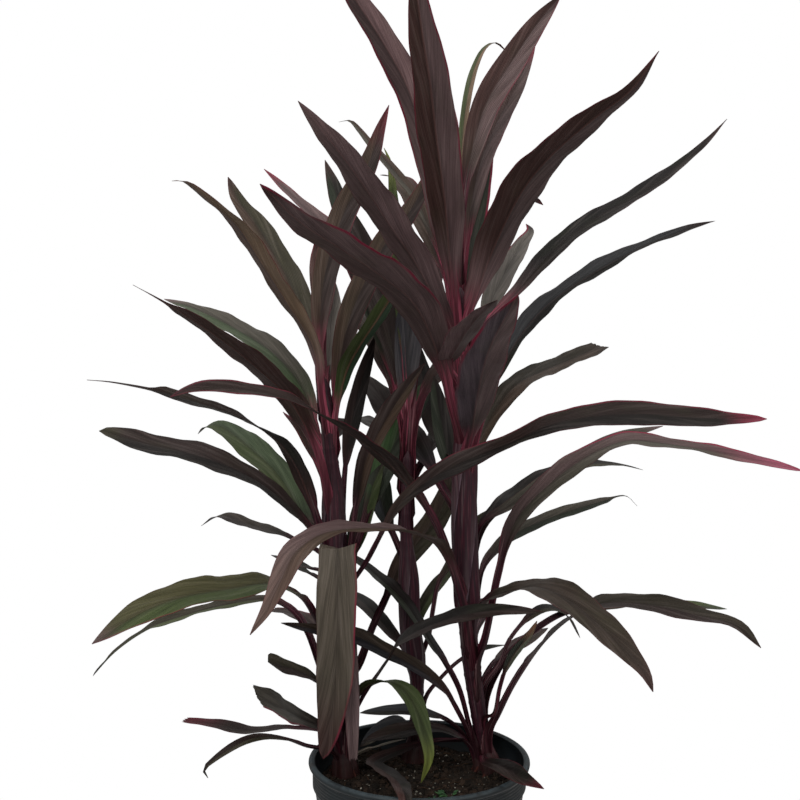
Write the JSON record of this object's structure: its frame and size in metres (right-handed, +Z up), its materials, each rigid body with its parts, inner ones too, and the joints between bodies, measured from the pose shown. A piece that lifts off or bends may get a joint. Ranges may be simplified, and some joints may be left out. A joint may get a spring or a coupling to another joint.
{
  "type": "potted cordyline plant",
  "caption": "Leafy ornamental plant with dark red strap leaves on upright canes, standing in the soil of a plain round nursery pot.",
  "frame": {"origin": "centre of the flat underside of the pot, on the surface that it stands on", "axes": "+Z up along the pot's axis, -Y the plant's front, +X to the right seen from the front"},
  "size_m": [0.7641, 0.6007, 1.0225],
  "materials": {
    "pot_plastic": "dusty dark grey-green moulded plastic, slightly glossy",
    "soil": "moist dark potting mix with pale grit, rough",
    "foliage": "satin dark wine-red leaves with pink-red margins, some green, and deep red canes"
  },
  "bodies": {
    "root": {"pot": "pot_plastic", "soil": "soil", "leafy_cane_right": "foliage", "leafy_cane_left": "foliage", "leafy_cane_back": "foliage"}
  },
  "joints": []
}
